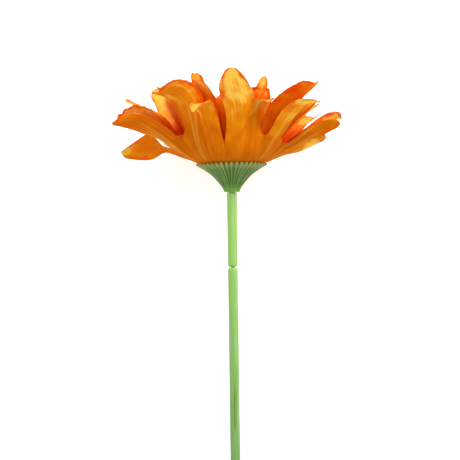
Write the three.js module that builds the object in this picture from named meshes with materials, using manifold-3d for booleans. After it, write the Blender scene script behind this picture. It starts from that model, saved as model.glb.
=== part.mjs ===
// A cut stem of an artificial gerbera, lying on a flat surface: four whorls of cloth petals, a ribbed
// moulded calyx, a fringed centre on a plastic peg, and a two-piece plastic stem over a steel wire.
//
// The flower is modelled upright in its own frame and then laid down as one group:
//   origin   middle of the calyx's foot, on the flower's axis
//   +Z       along the axis, from the stem to the face of the flower
//   -Y       the front, which is the upper side once the flower lies down
// The finished part has its stem along Y, its head towards +Y and the surface it lies on at Z = 0.
// Lengths are in millimetres and angles in degrees.
import Module from "manifold-3d";
import * as THREE from "three";

const wasm = await Module();
wasm.setup();

// ---- Driving dimensions: stem ----
const STEM_LENGTH = 300; // calyx foot to cut end
const STEM_RADIUS = 2.3;
const STEM_BORE_RADIUS = 1.2;
const STEM_SIDES = 24;
const NOTCH_DEPTH = 0.65; // how far the stem narrows where its two pieces meet
const NOTCH_HEIGHT = 3.0; // shoulder to shoulder
const NECK_LENGTH = 34.8; // calyx foot to the middle of the notch
const WIRE_RADIUS = 0.8;

// ---- Driving dimensions: peg and centre ----
const PEG_RADIUS = 1.45;
const PEG_INSERTION = 9; // how deep the peg reaches into the stem
const PEG_SIDES = 16;
const DISH_RADIUS = 7.6;
const DISH_HEIGHT = 16.5; // calyx foot to the underside of the dish's rim
const DISH_DROP = 4.5; // how far the dish's underside slopes down to the shaft
const DISH_THICKNESS = 1.1;
const BUTTON_RADIUS = 3.9;
const BUTTON_SIDES = 20;
const BUTTON_EDGE = 0.8; // upright edge below the dome
const BUTTON_DOME = 2.8;
const FRINGE_FLOOR = 0.6; // thickness of the ring that a fringe stands on
const FRINGE_TIP = 0.7; // thickness of its teeth at their ends
const INNER_FRINGE = { width: 1.4, reach: 0.9, height: 5.5, teeth: 14 };
const OUTER_FRINGE = { width: 1.5, reach: 2.2, height: 4.6, teeth: 20 };

// ---- Driving dimensions: calyx ----
const CALYX_WALL = 0.8;
const CALYX_FOOT_RADIUS = 3.7;
const CALYX_LEVELS = 5;
const CALYX_FINE_RIBS = 42; // ribs at the rim, each ending in a tooth
const CALYX_MAIN_RIBS = 14; // ribs at the foot
const CALYX_RIB_RELIEF = 0.2;
const CALYX_TOOTH = 0.45;
// The calyx's inner face from its floor to its rim, as distance from the axis and height.
const FUNNEL = new THREE.SplineCurve([
  new THREE.Vector2(3.0, 1.5),
  new THREE.Vector2(4.8, 4.1),
  new THREE.Vector2(8.0, 7.6),
  new THREE.Vector2(11.2, 10.2),
  new THREE.Vector2(16.0, 13.0),
]);

// ---- Driving dimensions: petals ----
const CLOTH = 0.4; // thickness of a petal's solid
const CLEARANCE = 0.3; // least gap between neighbouring pieces
const ROOT_SPACING = 1.3; // how much higher each inner whorl starts in the calyx
const ROOT_START = 2.8; // how high the outer whorl starts above the calyx's floor
const BASE_TURN = 7; // length over which a petal turns from the funnel to its own rise
const FREE_FORM = 15; // length over which it changes from the funnel's roundness to its own cup
const ROOT_STATIONS = 3;
const FREE_STATIONS = 8;
const COLUMNS = 4; // points across a petal
const TIP_SHARE = 0.34; // the share of its free length that a petal's tip curl takes
const OVERLAP = 1.2; // how far its blade may spread past its share of the whorl
const ROOT_WIDTH = 0.5; // width where it leaves the calyx, as a share of its greatest
const TIP_WIDTH = 0.2;
const WIDEST = 0.62; // where it is widest, as a share of its free length

// ---- Driving dimensions: how the flower lies ----
const LYING_TILT = 7.4; // the stem's slope from its cut end up to the head

const rad = THREE.MathUtils.degToRad;
const lerp = THREE.MathUtils.lerp;
const smooth = THREE.MathUtils.smoothstep;

// ---- Materials ----
const moulded = (color) => new THREE.MeshStandardMaterial({ color, roughness: 0.5, metalness: 0 });
const woven = (color) => new THREE.MeshStandardMaterial({ color, roughness: 0.75, metalness: 0 });
const STEM_GREEN = moulded(0x92c26c);
const CALYX_GREEN = moulded(0x6f9552);
const PEG_GREEN = moulded(0x86a861);
const BUTTON_BROWN = woven(0x5b3a1c);
const FRINGE_GOLD = woven(0xd99a2e);
const PETAL_ORANGE = woven(0xe87a14);
const STEEL = new THREE.MeshStandardMaterial({ color: 0x9a9a9a, roughness: 0.35, metalness: 1 });

const flower = new THREE.Group();

function addPiece(name, geometry, material) {
  const mesh = new THREE.Mesh(geometry, material);
  mesh.name = name;
  flower.add(mesh);
}

// ---- Turned pieces ----
const point = (r, h) => new THREE.Vector2(r, h);

// A solid of revolution about the flower's axis. Its profile runs anticlockwise in (r, h).
function turned(profile, sides) {
  const geometry = new THREE.LatheGeometry(profile, sides);
  geometry.rotateX(Math.PI / 2); // a lathe turns about Y
  return geometry;
}

function eachVertex(geometry, change) {
  const position = geometry.getAttribute("position");
  const p = new THREE.Vector3();
  for (let i = 0; i < position.count; i++) {
    p.fromBufferAttribute(position, i);
    change(p);
    position.setXYZ(i, p.x, p.y, p.z);
  }
}

// One rounded shoulder of the notch, from its neck out to the full stem.
function notchShoulder(neckHeight, towards) {
  const steps = 4;
  const shoulder = [];
  for (let i = 0; i <= steps; i++) {
    const angle = (Math.PI / 2) * (i / steps);
    const r = STEM_RADIUS - NOTCH_DEPTH * (1 - Math.sin(angle));
    shoulder.push(point(r, neckHeight + (towards * NOTCH_HEIGHT * (1 - Math.cos(angle))) / 2));
  }
  return shoulder;
}

// The short upper piece of the stem, with a socket for the centre's peg.
function stemNeck() {
  const bottom = -NECK_LENGTH + CLEARANCE / 2;
  const socket = PEG_RADIUS + CLEARANCE;
  const socketFloor = -PEG_INSERTION - CLEARANCE;
  return turned(
    [
      point(STEM_BORE_RADIUS, bottom),
      ...notchShoulder(bottom, 1),
      point(STEM_RADIUS, -CLEARANCE),
      point(socket, -CLEARANCE),
      point(socket, socketFloor),
      point(STEM_BORE_RADIUS, socketFloor),
      point(STEM_BORE_RADIUS, bottom),
    ],
    STEM_SIDES,
  );
}

function stemMain() {
  const top = -NECK_LENGTH - CLEARANCE / 2;
  return turned(
    [
      point(STEM_BORE_RADIUS, -STEM_LENGTH),
      point(STEM_RADIUS, -STEM_LENGTH),
      ...notchShoulder(top, -1).reverse(),
      point(STEM_BORE_RADIUS, top),
      point(STEM_BORE_RADIUS, -STEM_LENGTH),
    ],
    STEM_SIDES,
  );
}

function stemWire() {
  const top = -PEG_INSERTION - 2 * CLEARANCE;
  return turned(
    [
      point(0, -STEM_LENGTH),
      point(WIRE_RADIUS, -STEM_LENGTH),
      point(WIRE_RADIUS, top),
      point(0, top),
    ],
    PEG_SIDES,
  );
}

// The peg goes down through every whorl into the stem, and its dish carries the centre.
function centrePeg() {
  return turned(
    [
      point(0, -PEG_INSERTION),
      point(PEG_RADIUS, -PEG_INSERTION),
      point(PEG_RADIUS, DISH_HEIGHT - DISH_DROP),
      point(DISH_RADIUS, DISH_HEIGHT),
      point(DISH_RADIUS, DISH_HEIGHT + DISH_THICKNESS),
      point(0, DISH_HEIGHT + DISH_THICKNESS),
    ],
    PEG_SIDES,
  );
}

const CENTRE_SEAT = DISH_HEIGHT + DISH_THICKNESS + CLEARANCE;

function centreButton() {
  const profile = [point(0, CENTRE_SEAT), point(BUTTON_RADIUS, CENTRE_SEAT)];
  const steps = 5;
  for (let i = 0; i <= steps; i++) {
    const angle = (Math.PI / 2) * (i / steps);
    const r = i === steps ? 0 : BUTTON_RADIUS * Math.cos(angle);
    profile.push(point(r, CENTRE_SEAT + BUTTON_EDGE + BUTTON_DOME * Math.sin(angle)));
  }
  return turned(profile, BUTTON_SIDES);
}

// A ring on the dish that flares up into a crown of teeth, as a rolled strip of cut cloth does.
function fringe({ width, reach, height, teeth }, innerRadius) {
  const outerRadius = innerRadius + width;
  const top = CENTRE_SEAT + height;
  const floor = CENTRE_SEAT + FRINGE_FLOOR;
  const geometry = turned(
    [
      point(innerRadius, CENTRE_SEAT),
      point(outerRadius, CENTRE_SEAT),
      point(outerRadius + reach, top),
      point(outerRadius + reach - FRINGE_TIP, top),
      point(innerRadius + CLEARANCE, floor),
      point(innerRadius, CENTRE_SEAT),
    ],
    2 * teeth,
  );
  const toothDepth = 0.35 * height;
  eachVertex(geometry, (p) => {
    if (p.z < floor + CLEARANCE) return;
    const angle = Math.atan2(p.y, p.x);
    p.z -= (toothDepth * (1 - Math.cos(teeth * angle))) / 2;
  });
  return geometry;
}

// ---- Calyx ----
// A point on the calyx's inner face, moved towards the flower's axis by inset (outwards if negative).
function funnelAt(share, inset) {
  const p = FUNNEL.getPoint(share);
  const t = FUNNEL.getTangent(share);
  return point(p.x - t.y * inset, p.y + t.x * inset);
}

function calyx() {
  const outside = [];
  const inside = [];
  for (let i = 0; i <= CALYX_LEVELS; i++) {
    outside.push(funnelAt(i / CALYX_LEVELS, -CALYX_WALL));
    inside.push(funnelAt(1 - i / CALYX_LEVELS, 0));
  }
  const bore = PEG_RADIUS + CLEARANCE;
  const geometry = turned(
    [
      point(bore, 0),
      point(CALYX_FOOT_RADIUS, 0),
      ...outside,
      ...inside,
      point(bore, inside[CALYX_LEVELS].y),
      point(bore, 0),
    ],
    2 * CALYX_FINE_RIBS,
  );
  const rim = inside[0];
  const rimSlope = FUNNEL.getTangent(1);
  const isOutside = (r, h) => outside.some((o) => Math.hypot(o.x - r, o.y - h) < CALYX_WALL / 10);
  eachVertex(geometry, (p) => {
    const r = Math.hypot(p.x, p.y);
    const angle = Math.atan2(p.y, p.x);
    const height = p.z / rim.y;
    let growth = 0;
    if (isOutside(r, p.z)) {
      const fine = Math.cos(CALYX_FINE_RIBS * angle) * smooth(height, 0.3, 0.9);
      const main = Math.cos(CALYX_MAIN_RIBS * angle) * (1 - smooth(height, 0.2, 0.8));
      growth = CALYX_RIB_RELIEF * (fine + main);
    }
    if (r > rim.x - CLEARANCE) {
      const tooth = CALYX_TOOTH * Math.cos(CALYX_FINE_RIBS * angle);
      growth += tooth * rimSlope.x;
      p.z += tooth * rimSlope.y;
    }
    p.x *= 1 + growth / r;
    p.y *= 1 + growth / r;
  });
  return geometry;
}

// ---- Petals ----
// One petal. Angles are in degrees and lengths in millimetres.
//   at      direction round the axis, from the front (0) towards the right (90)
//   rise    slope of its free part above level, once it has left the calyx
//   bend    how much that slope has changed by the tip; negative droops
//   curl    how far its last third rolls over, on top of bend; negative rolls outwards
//   length  free length
//   width   greatest width
//   sway    how far it has turned aside by the tip, positive towards larger directions
//   twist   how far its tip is turned about its own line
//   cup     half the angle that its edges are rolled in by, towards the axis
function petal(at, rise, bend, curl, length, width, sway = 0, twist = 0, cup = 24) {
  return { at, rise, bend, curl, length, width, sway, twist, cup };
}

// From the outside in. A whorl leaves the funnel at turnAt, a share of the funnel's length.
const WHORLS = [
  {
    name: "outer",
    turnAt: 1,
    petals: [
      petal(6, 61, 0, 10, 45.5, 19, -5),
      petal(-20, 58, 2, -110, 38, 14.5, -12),
      petal(-43, 62, 0, -80, 45, 19, -12, 25),
      petal(-70, 30, -4, -34, 43, 14, 0, 50, 14),
      petal(-97, 18, -12, 10, 36, 13, 0, 85, 12),
      petal(-122, 54, 2, -14, 45, 16),
      petal(-149, 28, 4, -14, 45, 14),
      petal(-175, 36, 4, -10, 45, 14.5),
      petal(156, 34, 4, -14, 44, 14),
      petal(128, 34, 4, -16, 42, 14),
      petal(100, 20, 2, -14, 30, 15, 0, -60, 14),
      petal(74, 28, 4, -24, 38, 11, 0, -60, 14),
      petal(49, 50, -8, -46, 42, 15.5, 8),
      petal(26, 60, 2, -90, 35, 14.5, 4),
    ],
  },
  {
    name: "second",
    turnAt: 0.86,
    petals: [
      petal(-7, 70, 0, 4, 32, 11),
      petal(-30, 68, -4, -30, 40, 13),
      petal(-54, 60, 0, -40, 44, 14),
      petal(-80, 47, -20, -80, 51, 14),
      petal(-100, 41, -4, -12, 48, 9),
      petal(-131, 58, 2, -10, 44, 12),
      petal(-151, 65, 4, -6, 51, 10),
      petal(-175, 56, 4, -10, 44, 13),
      petal(154, 63, 2, -8, 51, 8),
      petal(134, 54, 2, -14, 44, 12),
      petal(111, 46, 2, -20, 42, 13),
      petal(88, 36, -4, -30, 45, 13),
      petal(67, 46, -6, -24, 44, 12),
      petal(52, 53, -5, -20, 47, 15),
      petal(26, 67, 0, -20, 36, 13),
    ],
  },
  whorlOf("third", 0.74, 10, 8, { rise: 68, length: 34, width: 12 }),
  whorlOf("inner", 0.6, 8, 24, { rise: 72, length: 26, width: 10.5 }),
];

// An even whorl whose petals differ a little from each other.
function whorlOf(name, turnAt, count, firstAt, { rise, length, width }) {
  const petals = [];
  for (let i = 0; i < count; i++) {
    const at = firstAt + (360 * i) / count;
    const wave = Math.sin(2.4 * i + count);
    const ripple = Math.cos(4.1 * i + count);
    petals.push(
      petal(at, rise + 3 * ripple, -4, -22 - 12 * wave, length + 3 * wave, width + ripple, 5 * ripple),
    );
  }
  return { name, turnAt, petals };
}

// How far round the axis a petal may spread on one side: half way to its neighbour.
function sectorTowards(whorl, spec, side) {
  let nearest = 360;
  for (const other of whorl.petals) {
    const step = THREE.MathUtils.euclideanModulo(side * (other.at - spec.at), 360);
    if (step > 0) nearest = Math.min(nearest, step);
  }
  return rad(nearest) / 2;
}

// Half the width of a petal's free part, a share t along it.
function bladeHalfWidth(spec, t) {
  const base = lerp(ROOT_WIDTH, 1, smooth(t, -0.15, WIDEST));
  const past = Math.max(0, (t - WIDEST) / (1 - WIDEST));
  const tip = lerp(TIP_WIDTH, 1, Math.sqrt(1 - past ** 2.4));
  return (spec.width / 2) * base * tip;
}

const stationAt = (i) => 1 - (1 - i / FREE_STATIONS) ** 1.25; // closer together near the tip

// The direction of a petal's line, a share t along its free part, as (outwards, aside, up).
function bladeRun(spec, rise, startSlope, t) {
  const own = rad(rise + spec.bend * t + spec.curl * smooth(t, 1 - TIP_SHARE, 1));
  const slope = lerp(startSlope, own, smooth(t * spec.length, 0, BASE_TURN));
  const heading = rad(spec.sway) * smooth(t, 0.1, 1);
  const level = Math.cos(slope);
  return new THREE.Vector3(level * Math.cos(heading), level * Math.sin(heading), Math.sin(slope));
}

// The share of the funnel's length at which a cloth laid in it is at this height.
function shareAtHeight(height, inset) {
  let low = 0;
  let high = 1;
  for (let i = 0; i < 20; i++) {
    const middle = (low + high) / 2;
    if (funnelAt(middle, inset).y < height) low = middle;
    else high = middle;
  }
  return low;
}

// The stations of a petal's middle line: place, share t of the free length and direction of run.
function petalLine(whorl, level, spec, rise) {
  const inset = CLEARANCE + CLOTH / 2 + (CLEARANCE + CLOTH) * level;
  const firstShare = shareAtHeight(FUNNEL.getPoint(0).y + ROOT_START + ROOT_SPACING * level, inset);
  const line = [];
  for (let i = 0; i < ROOT_STATIONS; i++) {
    const p = funnelAt(lerp(firstShare, whorl.turnAt, i / ROOT_STATIONS), inset);
    line.push({ place: new THREE.Vector3(p.x, 0, p.y), t: -1 });
  }
  const leaves = funnelAt(whorl.turnAt, inset);
  const place = new THREE.Vector3(leaves.x, 0, leaves.y);
  const startSlope = FUNNEL.getTangent(whorl.turnAt).angle();
  const substeps = 8;
  for (let i = 0; i <= FREE_STATIONS; i++) {
    const t = stationAt(i);
    line.push({ place: place.clone(), t, run: bladeRun(spec, rise, startSlope, t) });
    const stride = i < FREE_STATIONS ? (stationAt(i + 1) - t) / substeps : 0;
    for (let k = 0; k < substeps; k++) {
      const run = bladeRun(spec, rise, startSlope, t + (k + 0.5) * stride);
      place.addScaledVector(run, stride * spec.length);
    }
  }
  return line;
}

const AXIS = new THREE.Vector3(0, 0, 1);

// The petal's middle surface as rows of points, in the frame (outwards, aside, up).
function petalSurface(whorl, level, spec, rise) {
  const sector = { "-1": sectorTowards(whorl, spec, -1), 1: sectorTowards(whorl, spec, 1) };
  return petalLine(whorl, level, spec, rise).map(({ place, t, run }) => {
    const r = Math.hypot(place.x, place.y);
    const spread = lerp(1, OVERLAP, smooth(t, 0.3, 0.7));
    const row = [];
    for (let j = 0; j < COLUMNS; j++) {
      const across = (2 * j) / (COLUMNS - 1) - 1;
      const share = r * sector[Math.sign(across)] * spread - CLEARANCE / 2;
      const half = Math.min(bladeHalfWidth(spec, Math.max(0, t)), share);
      const wrapped = place.clone().applyAxisAngle(AXIS, (across * half) / r);
      row.push(t < 0 ? wrapped : wrapped.lerp(cupped(spec, place, run, t, across, half), freedom(spec, t)));
    }
    return row;
  });
}

const freedom = (spec, t) => smooth(t * spec.length, 0, FREE_FORM);

// A point of the free blade, across its line from -1 to 1, on an arc that lifts its edges.
function cupped(spec, place, run, t, across, half) {
  const aside = new THREE.Vector3(-run.y, run.x, 0).normalize();
  aside.applyAxisAngle(run, rad(spec.twist) * t * t);
  const inwards = new THREE.Vector3().crossVectors(run, aside);
  const roll = rad(spec.cup);
  return place
    .clone()
    .addScaledVector(aside, (half * Math.sin(roll * across)) / roll)
    .addScaledVector(inwards, (half * (1 - Math.cos(roll * across))) / roll);
}

// The closed solid of a surface given as rows of points, with this thickness.
function clothSolid(rows, thickness) {
  const last = rows.length - 1;
  const vertices = [];
  for (let i = 0; i <= last; i++) {
    const front = [];
    const back = [];
    for (let j = 0; j < COLUMNS; j++) {
      const along = rows[Math.min(i + 1, last)][j].clone().sub(rows[Math.max(i - 1, 0)][j]);
      const across = rows[i][Math.min(j + 1, COLUMNS - 1)].clone().sub(rows[i][Math.max(j - 1, 0)]);
      const normal = along.cross(across).setLength(thickness / 2);
      front.push(rows[i][j].clone().add(normal));
      back.unshift(rows[i][j].clone().sub(normal));
    }
    vertices.push(...front, ...back);
  }
  const ring = 2 * COLUMNS;
  const triangles = [];
  const addQuad = (a, b, c, d) => triangles.push(a, b, c, a, c, d);
  for (let i = 0; i < last; i++) {
    for (let k = 0; k < ring; k++) {
      const next = (k + 1) % ring;
      addQuad(i * ring + k, (i + 1) * ring + k, (i + 1) * ring + next, i * ring + next);
    }
  }
  for (let j = 0; j < COLUMNS - 1; j++) {
    const root = [j, j + 1, ring - 2 - j, ring - 1 - j];
    const tip = root.map((index) => last * ring + index).reverse();
    addQuad(...root);
    addQuad(...tip);
  }
  const geometry = new THREE.BufferGeometry().setFromPoints(vertices);
  geometry.setIndex(triangles);
  return geometry;
}

// A petal's solid in the flower's frame.
function petalSolid(whorl, level, spec, rise, thickness) {
  const geometry = clothSolid(petalSurface(whorl, level, spec, rise), thickness);
  return geometry.rotateZ(rad(spec.at) - Math.PI / 2);
}

// How high a point of the upright flower is above the surface once the flower lies down.
function heightLying(p) {
  const tilt = rad(LYING_TILT);
  const stemEnd = STEM_LENGTH * Math.sin(tilt) + STEM_RADIUS * Math.cos(tilt);
  return stemEnd - p.y * Math.cos(tilt) + p.z * Math.sin(tilt);
}

function lowestLying(geometry) {
  let lowest = Infinity;
  eachVertex(geometry, (p) => {
    lowest = Math.min(lowest, heightLying(p));
  });
  return lowest;
}

function toManifold(geometry) {
  const vertProperties = new Float32Array(geometry.getAttribute("position").array);
  const triVerts = new Uint32Array(geometry.getIndex().array);
  return new wasm.Manifold(new wasm.Mesh({ numProp: 3, vertProperties, triVerts }));
}

// The rise at which a petal just touches the surface, for one that would reach below it.
function riseOnSurface(solidAt, rise) {
  let low = rise;
  let high = 90;
  for (let i = 0; i < 24; i++) {
    const middle = (low + high) / 2;
    if (lowestLying(solidAt(middle, CLOTH)) < 0) low = middle;
    else high = middle;
  }
  return high;
}

// A petal has the rise it was given, unless the surface presses it up, and is then raised further until
// it is clear of the petals already placed.
function placePetal(whorl, level, spec, placed) {
  const solidAt = (rise, thickness) => petalSolid(whorl, level, spec, rise, thickness);
  let rise = spec.rise;
  if (lowestLying(solidAt(rise, CLOTH)) < 0) rise = riseOnSurface(solidAt, rise);
  const touches = () => {
    const grown = toManifold(solidAt(rise, CLOTH + CLEARANCE));
    return placed.some((other) => grown.intersect(other).volume() > 0);
  };
  while (rise < 90 && touches()) rise += 1;
  return solidAt(rise, CLOTH);
}

function addPetals() {
  const placed = [];
  WHORLS.forEach((whorl, level) => {
    whorl.petals.forEach((spec, i) => {
      const geometry = placePetal(whorl, level, spec, placed);
      placed.push(toManifold(geometry));
      addPiece(`petal_${whorl.name}_${i + 1}`, geometry, PETAL_ORANGE);
    });
  });
}

// ---- Assembly ----
addPiece("stem_neck", stemNeck(), STEM_GREEN);
addPiece("stem_main", stemMain(), STEM_GREEN);
addPiece("stem_wire", stemWire(), STEEL);
addPiece("calyx", calyx(), CALYX_GREEN);
addPiece("centre_peg", centrePeg(), PEG_GREEN);
addPiece("centre_button", centreButton(), BUTTON_BROWN);
addPiece("fringe_inner", fringe(INNER_FRINGE, BUTTON_RADIUS + CLEARANCE), FRINGE_GOLD);
const outerFringeRadius = BUTTON_RADIUS + INNER_FRINGE.width + 2 * CLEARANCE;
addPiece("fringe_outer", fringe(OUTER_FRINGE, outerFringeRadius), FRINGE_GOLD);
addPetals();

// Laid down with its middle over the origin and its lowest points on the surface.
flower.rotation.x = rad(LYING_TILT) - Math.PI / 2;
flower.updateMatrixWorld(true);
const bounds = new THREE.Box3().setFromObject(flower, true);
const middle = bounds.getCenter(new THREE.Vector3());
flower.position.set(-middle.x, -middle.y, -bounds.min.z);

const gerbera = new THREE.Group();
gerbera.add(flower);
export default gerbera;
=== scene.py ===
"""A cut stem of an artificial gerbera, laid on a pale floor.

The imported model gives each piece's place and shape. The operators below make the fine surface of every
piece around it: cloth petals, a moulded calyx, the stem's plastic sheath and the fringed centre.
Everything is in metres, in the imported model's own frame: the stem lies along Y and the floor is Z = 0.
"""
import math
import random

import bmesh
import bpy
import numpy as np
from bpy.props import EnumProperty, FloatProperty, FloatVectorProperty, IntProperty, PointerProperty
from bpy.types import Operator, Panel, PropertyGroup
from mathutils import Matrix, Vector, noise


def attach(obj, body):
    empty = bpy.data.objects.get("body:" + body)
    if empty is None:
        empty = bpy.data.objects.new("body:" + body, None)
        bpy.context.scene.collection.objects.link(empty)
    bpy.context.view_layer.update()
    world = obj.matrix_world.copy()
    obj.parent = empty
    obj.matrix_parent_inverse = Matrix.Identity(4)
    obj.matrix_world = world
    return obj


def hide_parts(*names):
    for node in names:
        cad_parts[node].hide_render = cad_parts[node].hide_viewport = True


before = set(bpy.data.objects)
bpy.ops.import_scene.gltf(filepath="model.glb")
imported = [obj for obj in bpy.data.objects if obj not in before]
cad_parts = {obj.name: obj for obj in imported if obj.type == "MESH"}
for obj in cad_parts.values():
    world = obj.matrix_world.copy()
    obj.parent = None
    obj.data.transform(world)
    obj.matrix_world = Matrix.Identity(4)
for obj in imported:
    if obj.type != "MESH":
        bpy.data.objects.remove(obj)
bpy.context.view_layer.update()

bl_info = {
    "name": "Artificial Gerbera",
    "version": (1, 0, 0),
    "blender": (4, 5, 0),
    "location": "3D View > Sidebar > Gerbera",
    "description": "Makes the petals, calyx, stem and centre of a cut artificial gerbera",
    "category": "Add Mesh",
}

MM = 0.001
SEED = 7
RING_SIZE = 8  # points round a cloth solid at each of its stations


def linear(red, green, blue):
    """A colour picked on a screen, 0 to 255, as the linear values that shaders take."""
    def channel(value):
        value /= 255
        return value / 12.92 if value <= 0.04045 else ((value + 0.055) / 1.055) ** 2.4
    return channel(red), channel(green), channel(blue)


# ---------------------------------------------------------------------------------------------------
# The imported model's own shapes
# ---------------------------------------------------------------------------------------------------

def welded(node):
    """A node's distinct points, and its faces as indices into them."""
    solid = bmesh.new()
    solid.from_mesh(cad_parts[node].data)
    bmesh.ops.remove_doubles(solid, verts=solid.verts, dist=2e-6)
    solid.verts.index_update()
    points = np.array([tuple(vertex.co) for vertex in solid.verts])
    faces = [[vertex.index for vertex in face.verts] for face in solid.faces]
    solid.free()
    return points, faces


def neighbours(points, triangles):
    """For each point, the set of points that share an edge with it."""
    near = [set() for _ in points]
    for triangle in triangles:
        for i in triangle:
            near[i].update(triangle)
    for i, others in enumerate(near):
        others.discard(i)
    return near


def find_flower_frame():
    """The calyx's foot, and the unit vectors right, front (up from the floor) and along the axis."""
    low = welded("stem_main")[0].mean(0)
    high = welded("centre_peg")[0].mean(0)
    axis = (high - low) / np.linalg.norm(high - low)
    right = np.array([1.0, 0.0, 0.0])
    front = np.cross(axis, right)
    front *= np.sign(front[2])
    calyx = welded("calyx")[0]
    foot = low + axis * ((calyx - low) @ axis).min()
    return foot, right, front, axis


FOOT, RIGHT, FRONT, AXIS = find_flower_frame()


def to_flower(points):
    """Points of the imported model's frame as (right, front, up the axis) from the calyx's foot."""
    return (np.asarray(points) - FOOT) @ np.array([RIGHT, FRONT, AXIS]).T


def from_flower(points):
    """Points given as (right, front, up the axis) from the calyx's foot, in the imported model's frame."""
    return FOOT + np.asarray(points) @ np.array([RIGHT, FRONT, AXIS])


def around(radius, azimuth, height):
    """Points round the axis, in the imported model's frame. Azimuth is 0 at the front and grows to the
    right."""
    radius, azimuth, height = np.broadcast_arrays(radius, azimuth, height)
    return from_flower(np.stack([radius * np.sin(azimuth), radius * np.cos(azimuth), height], -1))


def best_pairs(points, indices):
    """The points taken in pairs, so that the pairs are as short as they can be in all: their total
    length, and the pairs."""
    if not indices:
        return 0.0, []
    first, rest = indices[0], indices[1:]
    best = (math.inf, [])
    for other in rest:
        length = float(np.linalg.norm(points[first] - points[other]))
        if length > best[0]:
            continue
        total, pairs = best_pairs(points, [i for i in rest if i != other])
        if total + length < best[0]:
            best = (total + length, [(first, other)] + pairs)
    return best


def cloth_rows(node):
    """A cloth solid's middle surface: rows of points from its root to its tip, each across it in the
    direction of growing azimuth."""
    points, triangles = welded(node)
    near = neighbours(points, triangles)
    distance = np.linalg.norm(points - FOOT, axis=1)
    ring = [int(i) for i in np.argsort(distance)[:RING_SIZE]]
    seen = set(ring)
    rows = []
    while ring:
        if len(ring) != RING_SIZE:
            raise RuntimeError(f"{node}: a ring of its solid has {len(ring)} points, not {RING_SIZE}")
        middles = np.array([(points[a] + points[b]) / 2 for a, b in best_pairs(points, ring)[1]])
        spread = middles - middles.mean(0)
        line = np.linalg.svd(spread)[2][0]
        middles = middles[np.argsort(spread @ line)]
        if rows:
            before = rows[-1][-1] - rows[-1][0]
        else:
            place = to_flower(middles.mean(0))
            before = RIGHT * place[1] - FRONT * place[0]
        if (middles[-1] - middles[0]) @ before < 0:
            middles = middles[::-1]
        rows.append(middles)
        ring = sorted({j for i in ring for j in near[i]} - seen)
        seen.update(ring)
    return np.array(rows)


def meridian(node):
    """A turned solid's outline at the front, as (radius, height) points in order round it."""
    points, triangles = welded(node)
    place = to_flower(points)
    radius = np.hypot(place[:, 0], place[:, 1])
    azimuth = np.arctan2(place[:, 0], place[:, 1])
    off_axis = radius > 0.1 * MM
    at_front = np.abs(azimuth) < 0.01
    chosen = {int(i) for i in np.flatnonzero(off_axis & at_front)}
    near = neighbours(points, triangles)
    start = min(chosen, key=lambda i: (round(place[i, 2], 6), radius[i]))
    loop = [start]
    while True:
        onward = [i for i in near[loop[-1]] & chosen if i not in loop]
        if not onward:
            break
        loop.append(max(onward, key=lambda i: radius[i]) if len(loop) == 1 else onward[0])
    return np.array([[radius[i], place[i, 2]] for i in loop])


# ---------------------------------------------------------------------------------------------------
# Curves, surfaces and meshes
# ---------------------------------------------------------------------------------------------------

def smoothstep(low, high, value):
    """0 below low, 1 above high, and eased between them."""
    t = np.clip((np.asarray(value, float) - low) / (high - low), 0, 1)
    return t * t * (3 - 2 * t)


def hermite(knots, values, at):
    """A smooth curve through the values at the knots, read at the parameters at. It goes straight on
    beyond its end."""
    slopes = np.gradient(values, knots, axis=0)
    at = np.asarray(at, float)
    i = np.clip(np.searchsorted(knots, at, side="right") - 1, 0, len(knots) - 2)
    width = knots[i + 1] - knots[i]
    t = np.clip((at - knots[i]) / width, 0, 1)
    beyond = np.maximum(at - knots[-1], 0)[..., None]
    t, width = t[..., None], width[..., None]
    a = (2 * t**3 - 3 * t**2 + 1) * values[i] + (t**3 - 2 * t**2 + t) * width * slopes[i]
    b = (3 * t**2 - 2 * t**3) * values[i + 1] + (t**3 - t**2) * width * slopes[i + 1]
    return a + b + beyond * slopes[-1]


def across_weights(positions):
    """Weights of the four points across a cloth row, for a cubic through them, at -1 to 1."""
    knots = np.array([-1, -1 / 3, 1 / 3, 1])
    weights = np.ones((len(positions), 4))
    for j in range(4):
        for k in range(4):
            if k != j:
                weights[:, j] *= (positions - knots[k]) / (knots[j] - knots[k])
    return weights


def surface_normals(grid):
    """The unit normal at each point of a surface grid."""
    along = np.gradient(grid, axis=0)
    across = np.gradient(grid, axis=1)
    normal = np.cross(along, across)
    return normal / np.maximum(np.linalg.norm(normal, axis=-1, keepdims=True), 1e-12)


def sheet_solid(grid, thickness):
    """A surface grid thickened to a closed solid: its vertices, its faces, and which vertices are on the
    inner face."""
    normal = surface_normals(grid) * (thickness / 2)
    rows, columns = grid.shape[:2]
    count = rows * columns
    vertices = np.concatenate([(grid + normal).reshape(-1, 3), (grid - normal).reshape(-1, 3)])
    index = np.arange(count).reshape(rows, columns)
    a, b, c, d = index[:-1, :-1], index[1:, :-1], index[1:, 1:], index[:-1, 1:]
    inner = np.stack([a, b, c, d], -1).reshape(-1, 4)
    faces = [inner, inner[:, ::-1] + count]
    border = np.concatenate([index[0, :], index[1:, -1], index[-1, -2::-1], index[-2:0:-1, 0]])
    onward = np.roll(border, -1)
    faces.append(np.stack([border, onward, onward + count, border + count], -1))
    return vertices, np.concatenate(faces), np.arange(2 * count) < count


def joined(parts):
    """Several (vertices, faces) as one."""
    vertices, faces, start = [], [], 0
    for part_vertices, part_faces in parts:
        vertices.append(np.asarray(part_vertices, float).reshape(-1, 3))
        faces.extend([[int(i) + start for i in face] for face in part_faces])
        start += len(vertices[-1])
    return np.concatenate(vertices), faces


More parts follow.
